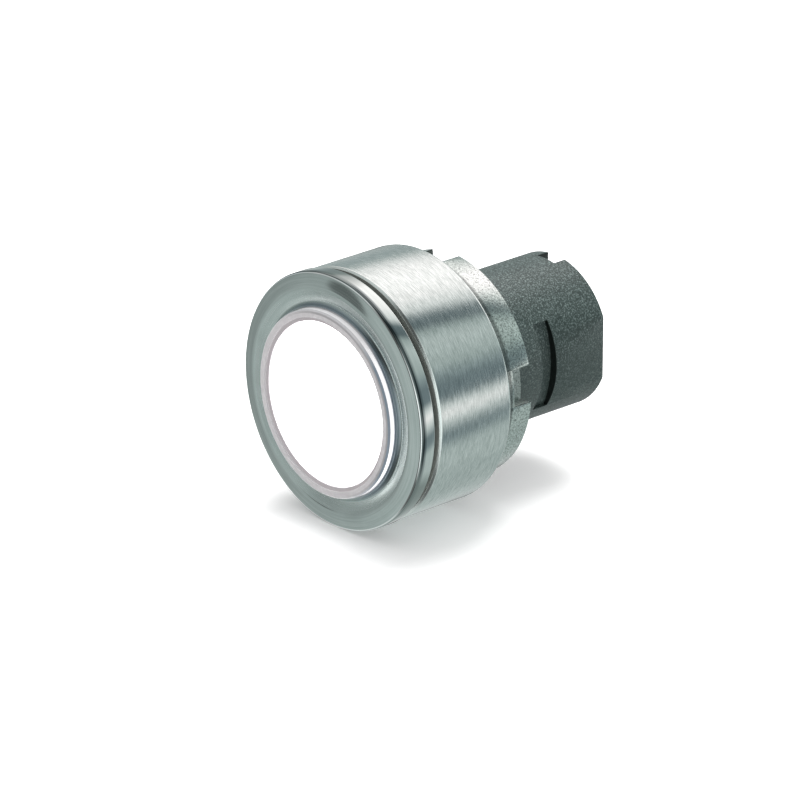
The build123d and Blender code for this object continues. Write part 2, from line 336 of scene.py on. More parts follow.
def finish_of(describe):
    """The material whose shader values a function gives, made when it is first asked for."""
    name = f"{describe.__name__}_finish"
    if name in bpy.data.materials:
        return bpy.data.materials[name]
    material = bpy.data.materials.new(name)
    material.use_nodes = True
    nodes = NodeTree(material.node_tree)
    shader = nodes.add("ShaderNodeBsdfPrincipled", describe(nodes))
    nodes.add("ShaderNodeOutputMaterial", {"Surface": shader.outputs[0]})
    return material


def past(base, *millimetres):
    """Places this many millimetres past a base."""
    return [base + step * MM for step in millimetres]


def axis_place(nodes):
    """X, Y and Z of the place on the object, and its distance from the axis."""
    x, y, z = nodes.parts(nodes.coordinate("Object"))
    square = nodes.maths("ADD", nodes.product(x, x), nodes.product(z, z))
    return x, y, z, nodes.maths("MAXIMUM", nodes.maths("SQRT", square), 0.1 * MM)


def leaning_right(nodes, x, upwards, radius):
    """How far a place lies to the right of the axis, and less so above it."""
    rightwards = nodes.maths("DIVIDE", x, radius)
    return nodes.maths("MULTIPLY_ADD", rightwards, 0.85, nodes.product(upwards, 0.5))


def tool_lines(nodes, fine, along, detail=2.0, roughness=0.5):
    """Noise that changes slowly round the axis and quickly across the tool's lines."""
    x, y, z, radius = axis_place(nodes)
    place = nodes.vector(
        nodes.product(nodes.maths("DIVIDE", x, radius), along),
        nodes.product(nodes.maths("MULTIPLY_ADD", y, 1.31, radius), fine),
        nodes.product(nodes.maths("DIVIDE", z, radius), along),
    )
    return nodes.noise(place, 1.0, detail, roughness)


def stretched_gloss(nodes, strength):
    """Shader values that stretch the gloss across lines round the axis."""
    tangent = nodes.add("ShaderNodeTangent", direction_type="RADIAL", axis="Y")
    return {"Anisotropic": strength, "Anisotropic Rotation": 0.25, "Tangent": tangent.outputs[0]}


def turned_metal(nodes):
    """Plated metal with fine lathe lines, for the bezel."""
    tones = finishes()
    size = sizes()
    x, y, z, radius = axis_place(nodes)
    upwards = nodes.maths("DIVIDE", z, radius)
    flange = reach("bezel")
    edge = front("bezel") + size.ridge_rise
    ridge = flange - size.ridge_inset
    foot = size.button_bore + size.lip_wall + size.lip_foot
    fine = tool_lines(nodes, 3600, 2.0, 2.0, 0.6)
    streaks = tool_lines(nodes, 5200, 1.5, 1.0)
    cloud = nodes.noise(nodes.coordinate("Object"), 260, 3.0)
    lines = nodes.mixture(fine, 0.55, tool_lines(nodes, 900, 1.0))
    tone = nodes.blend(nodes.spread(lines, 0.36, 0.66), tones.metal, tones.metal_worn)
    tone = nodes.shaded(tone, nodes.swing(cloud, 0.92, 1.0))
    # The rim: coarse streaks at its front, a painted shade band just behind the front edge, and painted
    # shade below and on top.
    on_rim = nodes.spread(radius, *past(flange, -0.07, -0.02))
    coarse = nodes.product(
        on_rim, nodes.spread(y, *past(edge, 0.95, 0.65)), nodes.spread(streaks, 0.35, 0.6, 0.35, 0.85)
    )
    tone = nodes.blend(coarse, tone, (0.10, 0.135, 0.14))
    not_below = nodes.spread(upwards, -0.42, -0.18, 0.1, 0.85)
    rim_band_shade = nodes.product(on_rim, nodes.band(y, *past(edge, 0.24, 0.30, 0.46, 0.58)), not_below)
    tone = nodes.blend(rim_band_shade, tone, (0.02, 0.03, 0.032))
    rim_shade_below_and_top = nodes.maths(
        "MAXIMUM",
        nodes.spread(upwards, -0.28, -0.42, 0.0, 0.75),
        nodes.spread(upwards, 0.965, 0.995, 0.0, 0.75),
    )
    tone = nodes.blend(nodes.product(on_rim, rim_shade_below_and_top), tone, (0.22, 0.265, 0.25))
    # The front edge: a painted highlight line with a painted shade line outside it.
    at_edge = nodes.spread(y, *past(edge, 0.30, 0.22))
    edge_shade_line = nodes.product(nodes.spread(radius, *past(flange, -0.14, -0.11)), not_below, at_edge)
    tone = nodes.blend(edge_shade_line, tone, (0.03, 0.045, 0.048))
    edge_highlight_line = nodes.product(nodes.band(radius, *past(flange, -0.27, -0.23, -0.15, -0.12)), at_edge)
    tone = nodes.blend(edge_highlight_line, tone, (0.97, 0.99, 0.98))
    # The lip: a painted dark bluish reflection on its right side, and a painted highlight in the hollow
    # beside it.
    on_right = nodes.spread(leaning_right(nodes, x, upwards, radius), -0.35, 0.15, 0.0, 0.9)
    hollow = nodes.band(radius, *past(foot, -0.15, 0.10, 0.45, 0.95))
    tone = nodes.blend(nodes.product(hollow, on_right), tone, (0.80, 0.88, 0.85))
    on_lip = nodes.band(radius, *past(size.button_bore, 0.01, 0.05), *past(foot, -0.35, 0.05))
    tone = nodes.blend(nodes.product(on_lip, on_right), tone, (0.24, 0.29, 0.33))
    dished = nodes.product(nodes.band(radius, *past(foot, -0.1, 0.1), *past(ridge, -0.5, -0.1)), 0.17)
    dull = nodes.maths("MAXIMUM", dished, nodes.product(on_lip, 0.25))
    return {
        "Base Color": tone,
        "Roughness": nodes.maths("ADD", nodes.swing(fine, 0.07, 0.12), dull),
        "Normal": nodes.bump(lines, 0.004 * MM, 0.5),
        "Metallic": 1.0,
        **stretched_gloss(nodes, 0.6),
    }


def brushed_metal(nodes):
    """Metal brushed round the axis, with a few stray scratches, for the sleeve."""
    tones = finishes()
    _, y, _, radius = axis_place(nodes)
    facing_y = nodes.parts(nodes.coordinate("Normal"))[1]
    face = front("clamp_sleeve")
    hair = tool_lines(nodes, 6200, 14.0, 3.0, 0.6)
    stray = tool_lines(nodes, 3600, 30.0, 1.0)
    lines = nodes.mixture(hair, 0.85, tool_lines(nodes, 1700, 3.5))
    tone = nodes.blend(nodes.spread(lines, 0.34, 0.66), tones.brushed, tones.brushed_lines)
    tone = nodes.blend(nodes.spread(stray, 0.70, 0.78, 0.0, 0.5), tone, (0.82, 0.86, 0.84))
    rearward = nodes.spread(facing_y, 0.85, 0.97)
    # Painted shade: darker on the rear face next to the nut, and a dark line on the rear rounding.
    shade_by_nut = nodes.product(rearward, nodes.spread(radius, *past(reach("ring_nut"), 0.30, 0.0), 0.0, 0.6))
    rear_edge_shade = nodes.product(nodes.band(facing_y, 0.50, 0.62, 0.88, 0.93), 0.8)
    tone = nodes.blend(nodes.maths("MAXIMUM", shade_by_nut, rear_edge_shade), tone, (0.06, 0.075, 0.07))
    # Painted highlight: a lighter band along the front edge.
    tone = nodes.blend(nodes.spread(y, *past(face, 0.34, 0.27)), tone, (0.86, 0.91, 0.88))
    ground = nodes.spread(y, *past(face, 0.03, 0.01))
    dull = nodes.maths("MAXIMUM", nodes.product(ground, 0.7), nodes.product(rearward, 0.36))
    return {
        "Base Color": nodes.blend(ground, tone, (0.25, 0.27, 0.25)),
        "Roughness": nodes.maths("MAXIMUM", nodes.swing(hair, 0.13, 0.22), dull),
        "Normal": nodes.bump(lines, 0.03 * MM, 0.6),
        "Metallic": nodes.maths("SUBTRACT", 1.0, ground),
        **stretched_gloss(nodes, 0.75),
    }


def cast_metal(nodes):
    """Rough cast and plated metal, for the ring nut."""
    tones = finishes()
    place = nodes.coordinate("Object")
    _, y, z, radius = axis_place(nodes)
    facing_x, facing_y, facing_z = nodes.parts(nodes.coordinate("Normal"))
    floor = sizes().slot_floor
    outer = reach("ring_nut")
    out_of_sleeve = front("ring_nut") + 2 * MM
    grain = nodes.noise(place, 4200, 2.0, 0.6)
    tone = nodes.blend(nodes.spread(grain, 0.34, 0.66), tones.cast, tones.cast_grain)
    # Painted highlight: paler on faces that look up.
    top_highlight = nodes.product(nodes.band(facing_z, 0.78, 0.86, 0.93, 0.98), 0.42)
    tone = nodes.blend(top_highlight, tone, (0.82, 0.87, 0.855))
    # Painted shade: the side walls of the top and bottom slots are near black.
    slot_wall_shade = nodes.product(
        nodes.spread(nodes.maths("ABSOLUTE", z), *past(floor, -1.2, -0.7)),
        nodes.spread(nodes.maths("ABSOLUTE", facing_x), 0.75, 0.90, 0.0, 0.85),
    )
    tone = nodes.blend(slot_wall_shade, tone, (0.03, 0.04, 0.035))
    # Random dark specks, and painted shade: darker next to the sleeve, towards the slot floors and on
    # the rear face.
    shade = nodes.product(
        nodes.spread(nodes.noise(place, 3600, 1.0), 0.30, 0.42, 0.45, 1.0),
        nodes.spread(y, *past(out_of_sleeve, 0.0, 0.35), 0.45, 1.0),
        nodes.spread(radius, floor + 0.1 * MM, outer - 0.4 * MM, 0.66, 1.0),
        nodes.spread(facing_y, 0.85, 0.97, 1.0, 0.7),
    )
    dull = nodes.maths(
        "MAXIMUM",
        nodes.spread(facing_y, 0.5, 0.9, 0.0, 0.42),
        nodes.spread(radius, *past(outer, -0.15, -0.35), 0.0, 0.42),
    )
    return {
        "Base Color": nodes.shaded(tone, shade),
        "Roughness": nodes.maths("MAXIMUM", nodes.swing(grain, 0.23, 0.15), dull),
        "Normal": nodes.bump(nodes.mixture(nodes.noise(place, 1500), 0.25, grain), 0.03 * MM, 0.6),
        "Metallic": 1.0,
    }


def speckled_plastic(nodes):
    """Glass-filled plastic with pale flecks, for the rear body."""
    tones = finishes()
    place = nodes.coordinate("Object")
    facing_x, facing_y, facing_z = nodes.parts(nodes.coordinate("Normal"))
    fleck = nodes.noise(place, 4600, 2.0, 0.6)
    # Painted sheen: the pale flecks show more on faces that look up.
    upward_sheen = nodes.spread(facing_z, -0.2, 0.75, 0.45, 1.1)
    share = nodes.product(nodes.spread(fleck, 0.48, 0.76), upward_sheen)
    tone = nodes.blend(share, tones.plastic, tones.plastic_fleck)
    tone = nodes.shaded(tone, nodes.swing(nodes.noise(place, 500), 0.94, 1.06))
    # Painted shade: faces that look to the front, and the index notch's side walls, are near black.
    in_notch = nodes.product(
        nodes.spread(nodes.maths("ABSOLUTE", facing_x), 0.85, 0.95),
        nodes.spread(nodes.parts(place)[2], *past(sizes().body_bore, -0.6, -0.5)),
    )
    dark = nodes.maths("MAXIMUM", nodes.spread(facing_y, -0.5, -0.9), in_notch)
    return {
        "Base Color": nodes.blend(dark, tone, (0.004, 0.006, 0.005)),
        "Roughness": nodes.swing(fleck, 0.52, 0.36),
        "Normal": nodes.bump(fleck, 0.03 * MM, 0.5),
        "Specular Tint": (0.80, 0.95, 0.94, 1),
    }


def rubber(nodes):
    """Matt black rubber with a fine bloom, for the seals."""
    bloom = nodes.noise(nodes.coordinate("Object"), 2400, 3.0)
    return {
        "Base Color": nodes.blend(
            nodes.spread(bloom, 0.4, 0.75), finishes().rubber, (0.12, 0.13, 0.115)
        ),
        "Roughness": nodes.swing(bloom, 0.62, 0.78),
        "Normal": nodes.bump(bloom, 0.01 * MM, 0.4),
    }


def drawn_steel(nodes):
    """Plain spring steel, for the spring, the rings, the washers and the pin."""
    lines = tool_lines(nodes, 6000, 2.0, 3.0)
    return {
        "Base Color": nodes.blend(nodes.spread(lines, 0.35, 0.7), finishes().steel, (0.62, 0.62, 0.61)),
        "Roughness": nodes.swing(lines, 0.24, 0.38),
        "Normal": nodes.bump(lines, 0.003 * MM, 0.4),
        "Metallic": 1.0,
    }


def moulded_plastic(nodes, tone, darker):
    """Smooth moulded plastic whose tone falls to this share in places."""
    place = nodes.coordinate("Object")
    flow = nodes.swing(nodes.noise(place, 420, 3.0), 0.0, 1.0)
    skin = nodes.noise(place, 5200)
    return {
        "Base Color": nodes.blend(flow, [darker * part for part in tone], tone),
        "Roughness": nodes.swing(skin, 0.34, 0.46),
        "Normal": nodes.bump(skin, 0.006 * MM, 0.3),
    }


def white_plastic(nodes):
    """White plastic of the plunger and its guide."""
    return moulded_plastic(nodes, finishes().white, 0.9)


def carrier_plastic(nodes):
    """Pale translucent plastic of the carrier, with a painted glow for the lamp's light through it."""
    tone = finishes().carrier
    return {
        **moulded_plastic(nodes, tone, 0.92),
        "Emission Color": (*tone, 1),
        "Emission Strength": 0.36,
    }


def opal_light(nodes):
    """White opal plastic with the lamp on behind it."""
    tones = finishes()
    cloud = nodes.swing(nodes.noise(nodes.coordinate("Object"), 500), 0.0, 1.0)
    return {
        "Base Color": nodes.blend(cloud, (0.88, 0.88, 0.88), (0.95, 0.95, 0.95)),
        "Roughness": 0.35,
        "Emission Color": (*tones.lamp, 1),
        "Emission Strength": tones.lamp_strength,
    }


def clear_plastic(nodes):
    """Clear polished cap. Its side wall is frosted, with painted shade and a painted bright band, and
    glows with painted light.
    """
    x, y, z, radius = axis_place(nodes)
    upwards = nodes.maths("DIVIDE", z, radius)
    face = front("lens_cap")
    edge = reach("lens_cap")
    wall = edge - sizes().lens_wall
    haze = nodes.swing(nodes.noise(nodes.coordinate("Object"), 1500, 3.0), 0.0, 1.0)
    shaded = nodes.spread(leaning_right(nodes, x, upwards, radius), -0.25, 0.45)
    below_top = nodes.spread(upwards, 0.85, 0.62)
    frosted = nodes.spread(radius, *past(wall, -0.24, -0.16))
    shadow = nodes.product(nodes.spread(radius, *past(edge, -0.52, -0.40)), shaded)
    frost = nodes.blend(haze, (0.325, 0.315, 0.322), (0.375, 0.365, 0.372))
    frost = nodes.blend(shadow, frost, (0.21, 0.205, 0.21))
    # The side wall: painted shade on its right side, an even grey near the top, and a painted bright
    # band behind the front edge, dimmer near the top.
    rim = nodes.blend(shaded, (0.50, 0.49, 0.50), (0.12, 0.15, 0.18))
    rim = nodes.blend(below_top, (0.34, 0.34, 0.35), rim)
    glow = nodes.blend(below_top, (0.60, 0.59, 0.60), (0.95, 0.94, 0.95))
    rim = nodes.blend(nodes.band(y, *past(face, 0.30, 0.42, 0.95, 1.12)), rim, glow)
    frost = nodes.blend(nodes.spread(radius, *past(edge, -0.24, -0.12)), frost, rim)
    clear = nodes.blend(haze, (0.97, 0.97, 0.98), (1.0, 1.0, 1.0))
    colour = nodes.blend(frosted, clear, frost)
    return {
        "Base Color": colour,
        "Roughness": nodes.spread(frosted, 0.0, 1.0, 0.03, 0.3),
        "Transmission Weight": nodes.maths("SUBTRACT", 1.0, frosted),
        "IOR": 1.49,
        # Painted glow: the frosted wall gives off its own colour as light.
        "Emission Color": colour,
        "Emission Strength": nodes.product(frosted, 0.5),
    }


def floor_paper(nodes):
    """Pale paper of the floor, with a little light of its own to soften the shadow."""
    grain = nodes.noise(nodes.coordinate("Object"), 900)
    return {
        "Base Color": nodes.blend(grain, (0.90, 0.90, 0.90), (0.93, 0.93, 0.93)),
        "Roughness": 0.9,
        "Specular IOR Level": 0.1,
        "Emission Color": (1.0, 1.0, 1.0, 1.0),
        "Emission Strength": 0.22,
    }


def half_section(outline):
    """A wire of the outline's (radius, y, rounding) points, with its corners rounded."""
    bm = bmesh.new()
    corners = [bm.verts.new((radius, y, 0)) for radius, y, _ in outline]
    pairs = list(zip(corners, corners[1:]))
    if outline[0][0] > 0 or outline[-1][0] > 0:
        pairs.append((corners[-1], corners[0]))
    for pair in pairs:
        bm.edges.new(pair)
    for corner, (_, _, rounding) in zip(corners, outline):
        if rounding:
            bmesh.ops.bevel(
                bm,
                geom=[corner],
                offset=rounding,
                offset_type="OFFSET",
                segments=5,
                profile=0.5,
                affect="VERTICES",
                clamp_overlap=False,
                material=-1,
            )
    return bm


def ring_outline(inner, outer, start, end, rounding):
    """The half section of a ring with four like corners."""
    corners = [(inner, start), (outer, start), (outer, end), (inner, end)]
    return [(radius, y, rounding) for radius, y in corners]


def tidied(bm):
    """Merges doubles and turns the faces outwards."""
    bmesh.ops.remove_doubles(bm, verts=bm.verts, dist=0.0005 * MM)
    bmesh.ops.recalc_face_normals(bm, faces=bm.faces)
    return bm


def move(bm, offset):
    """Moves everything."""
    bmesh.ops.translate(bm, verts=bm.verts, vec=offset)


def turn(bm, angle):
    """Turns everything about the axis, from +X towards +Z."""
    matrix = Matrix.Rotation(-angle, 3, "Y")
    bmesh.ops.rotate(bm, verts=bm.verts, cent=(0, 0, 0), matrix=matrix)


def push(bm, offset):
    """Extrudes every face by an offset."""
    pushed = bmesh.ops.extrude_face_region(bm, geom=bm.faces[:])
    moved = [item for item in pushed["geom"] if isinstance(item, bmesh.types.BMVert)]
    bmesh.ops.translate(bm, verts=moved, vec=offset)


def sweep(bm, angle, steps, advance=0.0, closed=False):
    """Sweeps everything round the axis, and this far along it in each step."""
    bmesh.ops.spin(
        bm,
        geom=bm.verts[:] + bm.edges[:] + bm.faces[:],
        cent=(0, 0, 0),
        axis=(0, 1, 0),
        dvec=(0, advance, 0),
        angle=angle,
        steps=steps,
        use_merge=closed,
    )
    return tidied(bm)


def turned(outline, steps=None):
    """A closed piece of revolution about the axis."""
    return sweep(half_section(outline), WHOLE_TURN, steps or sizes().steps, closed=True)


def box_cutter(low, high, angle=0.0):
    """A closed box between two corners, turned about the axis."""
    bm = bmesh.new()
    bmesh.ops.create_cube(bm, size=1)
    low, high = Vector(low), Vector(high)
    bmesh.ops.scale(bm, verts=bm.verts, vec=high - low)
    move(bm, (low + high) / 2)
    turn(bm, angle)
    return bm


def rod(radius, start, end, steps, centre_x=0.0):
    """A closed rod along the axis."""
    bm = bmesh.new()
    bmesh.ops.create_circle(bm, cap_ends=True, segments=steps, radius=radius)
    upright = Matrix.Rotation(math.radians(90), 3, "X")
    bmesh.ops.rotate(bm, verts=bm.verts, cent=(0, 0, 0), matrix=upright)
    move(bm, (centre_x, start, 0))
    push(bm, (0, end - start, 0))
    return tidied(bm)


def loose_object(name, bm):
    """A new object from a bmesh, in the scene."""
    mesh = bpy.data.meshes.new(name)
    bm.to_mesh(mesh)
    bm.free()
    obj = bpy.data.objects.new(name, mesh)
    bpy.context.scene.collection.objects.link(obj)
    return obj


def discard(obj):
    """Removes an object and its mesh."""
    mesh = obj.data
    bpy.data.objects.remove(obj)
    bpy.data.meshes.remove(mesh)


def taken_back(obj):
    """The bmesh of an object, which is removed."""
    bm = bmesh.new()
    bm.from_mesh(obj.data)
    discard(obj)
    return bm


def apply_modifiers(obj):
    """Turns an object's modifiers into its mesh."""
    graph = bpy.context.evaluated_depsgraph_get()
    plain = obj.data
    finished = bpy.data.meshes.new_from_object(obj.evaluated_get(graph))
    obj.modifiers.clear()
    obj.data = finished
    bpy.data.meshes.remove(plain)


def cut(obj, cutters, operation="DIFFERENCE"):
    """Cuts closed shapes out of an object, or adds them to it."""
    helpers = [loose_object(f"{obj.name}_cutter", bm) for bm in cutters]
    for helper in helpers:
        modifier = obj.modifiers.new("cut", "BOOLEAN")
        modifier.operation = operation
        modifier.solver = "EXACT"
        modifier.object = helper
    apply_modifiers(obj)
    for helper in helpers:
        discard(helper)


def soften(obj, width, sharper_than=50):
    """Breaks the sharp edges of an object."""
    modifier = obj.modifiers.new("edges", "BEVEL")
    modifier.width = width
    modifier.segments = 2
    modifier.limit_method = "ANGLE"
    modifier.angle_limit = math.radians(sharper_than)
    modifier.use_clamp_overlap = True
    apply_modifiers(obj)


def dress(obj, material, body, node=None, smooth_below=32):
    """Gives a finished piece its shading, material and body, and hides the CAD part it stands for, if
    any.
    """
    obj.data.shade_smooth()
    obj.data.set_sharp_from_angle(angle=math.radians(smooth_below))
    obj.data.materials.clear()
    obj.data.materials.append(finish_of(material))
    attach(obj, body)
    if node:
        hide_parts(node)


def turned_piece(node, form, outline, material, body, steps=None):
    """A turned piece that needs no further work."""
    dress(loose_object(f"{node}_{form}", turned(outline, steps)), material, body, node)


def ring_piece(node, form, inner, rounding, material, body, steps=SMALL_STEPS):
    """A plain ring with the outside and the length of its node."""
    start, end, outer = extent(node)
    outline = ring_outline(inner, outer, start, end, rounding)
    turned_piece(node, form, outline, material, body, steps)


def clip_piece(node, inner, outer, rounding, gap, at, body):
    """A spring ring whose gap lies this many degrees from +X towards +Z."""
    start, end = extent(node)[:2]
    bm = half_section(ring_outline(inner, outer, start, end, rounding))
    bmesh.ops.contextual_create(bm, geom=bm.edges[:])
    gap_angle = gap / outer
    turn(bm, math.radians(at) - gap_angle / 2)
    ring = sweep(bm, WHOLE_TURN - gap_angle, CLIP_STEPS)
    dress(loose_object(f"{node}_ring", ring), drawn_steel, body, node)


def build_bezel():
    """Flange, lip, barrel, web and threaded neck."""
    size = sizes()
    flange = reach("bezel")
    ridge_y = front("bezel")
    edge_y = ridge_y + size.ridge_rise
    foot_y = ridge_y + size.dish_drop
    lip_y = foot_y - size.lip_rise
    lip = size.button_bore + size.lip_wall
    neck_end = rear("bezel")
    web_rear = front("wiper_seal")
    web_front = web_rear - size.web_thickness
    body_front = front("rear_body")
    gasket_inner = reach("panel_gasket") - size.gasket_width - size.seat_gap
    gasket_outer = reach("panel_gasket") + size.seat_gap
    core = size.neck - size.thread_depth
    outline = [
        (size.button_bore, lip_y, 0.08 * MM),
        (lip, lip_y, 0.12 * MM),
        (lip, foot_y - size.lip_foot, 0.08 * MM),
        (lip + size.lip_foot, foot_y, 0.15 * MM),
        (flange - size.ridge_inset, ridge_y, 0.35 * MM),
        (flange - 0.25 * MM, edge_y - 0.06 * MM, EDGE),
        (flange, edge_y + 0.24 * MM, 0.12 * MM),
        (flange, 0, 0.18 * MM),
        (gasket_outer, 0, 0),
        (gasket_outer, -size.gasket_recess, 0),
        (gasket_inner, -size.gasket_recess, 0),
        (gasket_inner, 0, 0),
        (size.barrel, 0, 0),
        (size.barrel, web_rear, 3 * EDGE),
        (core, web_rear, 2 * EDGE),
        (core, neck_end, 3 * EDGE),
        (size.body_seat, neck_end, 2 * EDGE),
        (size.body_seat, body_front, 0),
        (size.seal_pocket, body_front, 0),
        (size.seal_pocket, web_rear, 0),
        (size.web_bore, web_rear, EDGE),
        (size.web_bore, web_front, EDGE),
        (size.button_bore, web_front, 2 * EDGE),
    ]
    turned_piece("bezel", "casting", outline, turned_metal, "housing")


def build_neck_thread():
    """The helical ridge on the neck, which the ring nut runs on."""
    size = sizes()
    pitch = size.thread_pitch
    base = size.neck - size.thread_depth - 0.02 * MM
    start = rear("clamp_sleeve") - 2 * pitch
    end = rear("bezel") - 0.2 * MM
    turns = (end - start) / pitch - 1
    flank = 0.42 * pitch
    crest = 0.08 * pitch
    corners = [(base, -flank), (size.neck, -crest), (size.neck, crest), (base, flank)]
    bm = bmesh.new()
    bm.faces.new([bm.verts.new((radius, start + pitch / 2 + y, 0)) for radius, y in corners])
    steps = int(turns * THREAD_STEPS)
    sweep(bm, WHOLE_TURN * steps / THREAD_STEPS, steps, pitch / THREAD_STEPS)
    dress(loose_object("neck_thread", bm), turned_metal, "housing")


def build_gasket():
    """Rubber ring in the flange's rear face."""
    size = sizes()
    inner = reach("panel_gasket") - size.gasket_width
    ring_piece("panel_gasket", "ring", inner, 2 * EDGE, rubber, "housing", size.steps)


def build_sleeve():
    """Brushed cup behind the gasket."""
    size = sizes()
    start, end, outer = extent("clamp_sleeve")
    edge = size.sleeve_edge
    outline = [
        (size.sleeve_bore, start, 0.15 * MM),
        (outer - edge, start, 0.06 * MM),
        (outer, start + edge, 0.06 * MM),
        (outer, end, size.sleeve_round),
        (size.nut_bore, end, EDGE),
        (size.nut_bore, end - size.sleeve_web, EDGE),
        (size.sleeve_bore, end - size.sleeve_web, 2 * EDGE),
    ]
    turned_piece("clamp_sleeve", "cup", outline, brushed_metal, "housing")


def build_nut():
    """Cast ring nut with its spanner slots."""
    size = sizes()
    start, end, outer = extent("ring_nut")
    outline = [
        (size.nut_bore, start, 0),
        (outer, start, EDGE),
        (outer, end, 0),
        (size.nut_bore, end, 0.25 * MM),
    ]
    obj = loose_object("ring_nut_casting", turned(outline, MEDIUM_STEPS))
    low = (0, end - size.slot_length, -size.slot_width / 2)
    high = (outer + SPARE, end + SPARE, size.slot_width / 2)
    apart = WHOLE_TURN / size.slot_count
    cut(obj, [box_cutter(low, high, size.slot_turn + slot * apart) for slot in range(size.slot_count)])
    web = ring_outline(size.nut_bore, size.slot_floor, start + SPARE, end, 0)
    cut(obj, [turned(web, MEDIUM_STEPS)], "UNION")
    soften(obj, 0.14 * MM)
    dress(obj, cast_metal, "housing", "ring_nut", 38)


def crescent_cutter(side):
    """The latch groove on one side: a slab less a wide round rod."""
    size = sizes()
    half_chord = size.spigot * math.sin(size.groove_half_angle)
    floor_centre = size.spigot - size.groove_depth - size.groove_floor
    end = rear("rear_body") - size.groove_to_end
    start = end - size.groove_width
    block = box_cutter((0, start, -half_chord), (size.spigot + SPARE, end, half_chord))
    slab = loose_object("crescent_slab", block)
    cut(slab, [rod(size.groove_floor, start - SPARE, end + SPARE, LARGE_STEPS, floor_centre)])
    bm = taken_back(slab)
    turn(bm, side)
    return bm


def lead_in_cutter(side):
    """The wedge over the slanted flat on one side."""
    size = sizes()
    end_y = rear("rear_body")
    outer_x = size.spigot + SPARE
    end_x = size.spigot - size.lead_in_depth
    start_y = end_y - (outer_x - end_x) / size.lead_in_slope
    past_end = end_y + SPARE
    wedge = [(outer_x, start_y), (end_x - SPARE * size.lead_in_slope, past_end), (outer_x, past_end)]
    bm = bmesh.new()
    bm.faces.new([bm.verts.new((x, y, -size.spigot)) for x, y in wedge])
    push(bm, (0, 0, 2 * size.spigot))
    turn(bm, side)
    return tidied(bm)


def build_rear_body():
    """Moulded tube with its latch grooves, lead-in flats and index notch."""
    size = sizes()
    start, end, shank = extent("rear_body")
    neck_end = rear("bezel")
    clip_start, clip_end, clip_radius = extent("bush_clip")
    outline = [
        (size.guide_bore, start, EDGE),
        (shank, start, EDGE),
        (shank, neck_end, EDGE / 2),
        (size.spigot, neck_end, EDGE / 2),
        (size.spigot, end, 0.15 * MM),
        (size.body_bore, end, EDGE),
        (size.body_bore, clip_end, 0),
        (clip_radius, clip_end, 0),
        (clip_radius, clip_start, 0),
        (size.body_bore, clip_start, 0),
        (size.body_bore, start + size.front_guide, EDGE),
        (size.guide_bore, start + size.front_guide, EDGE),
    ]
    obj = loose_object("rear_body_moulding", turned(outline, MEDIUM_STEPS))
    cutters = []
    for side in (0, math.pi):
        cutters.append(crescent_cutter(side))
        cutters.append(lead_in_cutter(side))
    low_x = size.notch_offset - size.notch_width / 2
    low = (low_x, end - size.notch_depth, size.body_bore / 2)
    high = (low_x + size.notch_width, end + SPARE, size.spigot + SPARE)
    cutters.append(box_cutter(low, high))
    cut(obj, cutters)
    soften(obj, 0.08 * MM, 35)
    dress(obj, speckled_plastic, "housing", "rear_body", 30)


def build_body_rings():
    """The seal and the retaining ring between body and neck, and the index pin."""
    shank = reach("rear_body")
    inner = shank - 0.9 * MM
    ring_piece("body_seal", "ring", inner, 0.25 * MM, rubber, "housing")
    inner, outer = past(shank, -0.55, 0.55)
    clip_piece("body_retainer", inner, outer, 0.12 * MM, 5 * MM, 270, "housing")
    low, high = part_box("index_pin")
    pin = rod((high.x - low.x) / 2, low.y, high.y, PIN_STEPS)
    move(pin, (0, 0, (low.z + high.z) / 2))
    obj = loose_object("index_dowel", pin)
    soften(obj, EDGE)
    dress(obj, drawn_steel, "housing", "index_pin")


def build_lens():
    """Clear cap, lit disc, seal and carrier."""
    size = sizes()
    start, end, lens = extent("lens_cap")
    inside = start + size.lens_front_wall
    inner = lens - size.lens_wall
    cap = [
        (0, start, 0),
        (lens, start, size.lens_edge),
        (lens, end, EDGE),
        (inner, end, EDGE),
        (inner, inside, 0.15 * MM),
        (0, inside, 0),
    ]
    turned_piece("lens_cap", "clear", cap, clear_plastic, "button")
    disc_front, disc_rear, disc = extent("diffuser")
    opal = [
        (0, disc_front, 0),
        (disc, disc_front, 0.12 * MM),
        (disc, disc_rear, 0.12 * MM),
        (0, disc_rear, 0),
    ]
    turned_piece("diffuser", "disc", opal, opal_light, "button", SMALL_STEPS)
    seal_front, seal_rear = extent("lens_seal")[:2]
    seal = ring_outline(size.carrier_skirt, lens, seal_front, seal_rear, 0.12 * MM)
    turned_piece("lens_seal", "ring", seal, rubber, "button", SMALL_STEPS)
    base_rear = rear("lens_carrier")
    base_front = base_rear - size.carrier_base
    funnel = [
        (disc + size.seat_gap, inside, EDGE / 2),
        (size.carrier_skirt, inside, 0.08 * MM),
        (size.carrier_skirt, base_front, 0),
        (lens, base_front, EDGE),
        (lens, base_rear, 0.15 * MM),
        (size.plunger, base_rear, 0),
        (size.plunger, front("plunger"), 0),
        (size.light_way, front("plunger"), EDGE),
        (disc - size.diffuser_ledge, disc_rear, EDGE),
        (disc + size.seat_gap, disc_rear, 0),
    ]
    turned_piece(
        "lens_carrier", "funnel", funnel, carrier_plastic, "button", MEDIUM_STEPS
    )


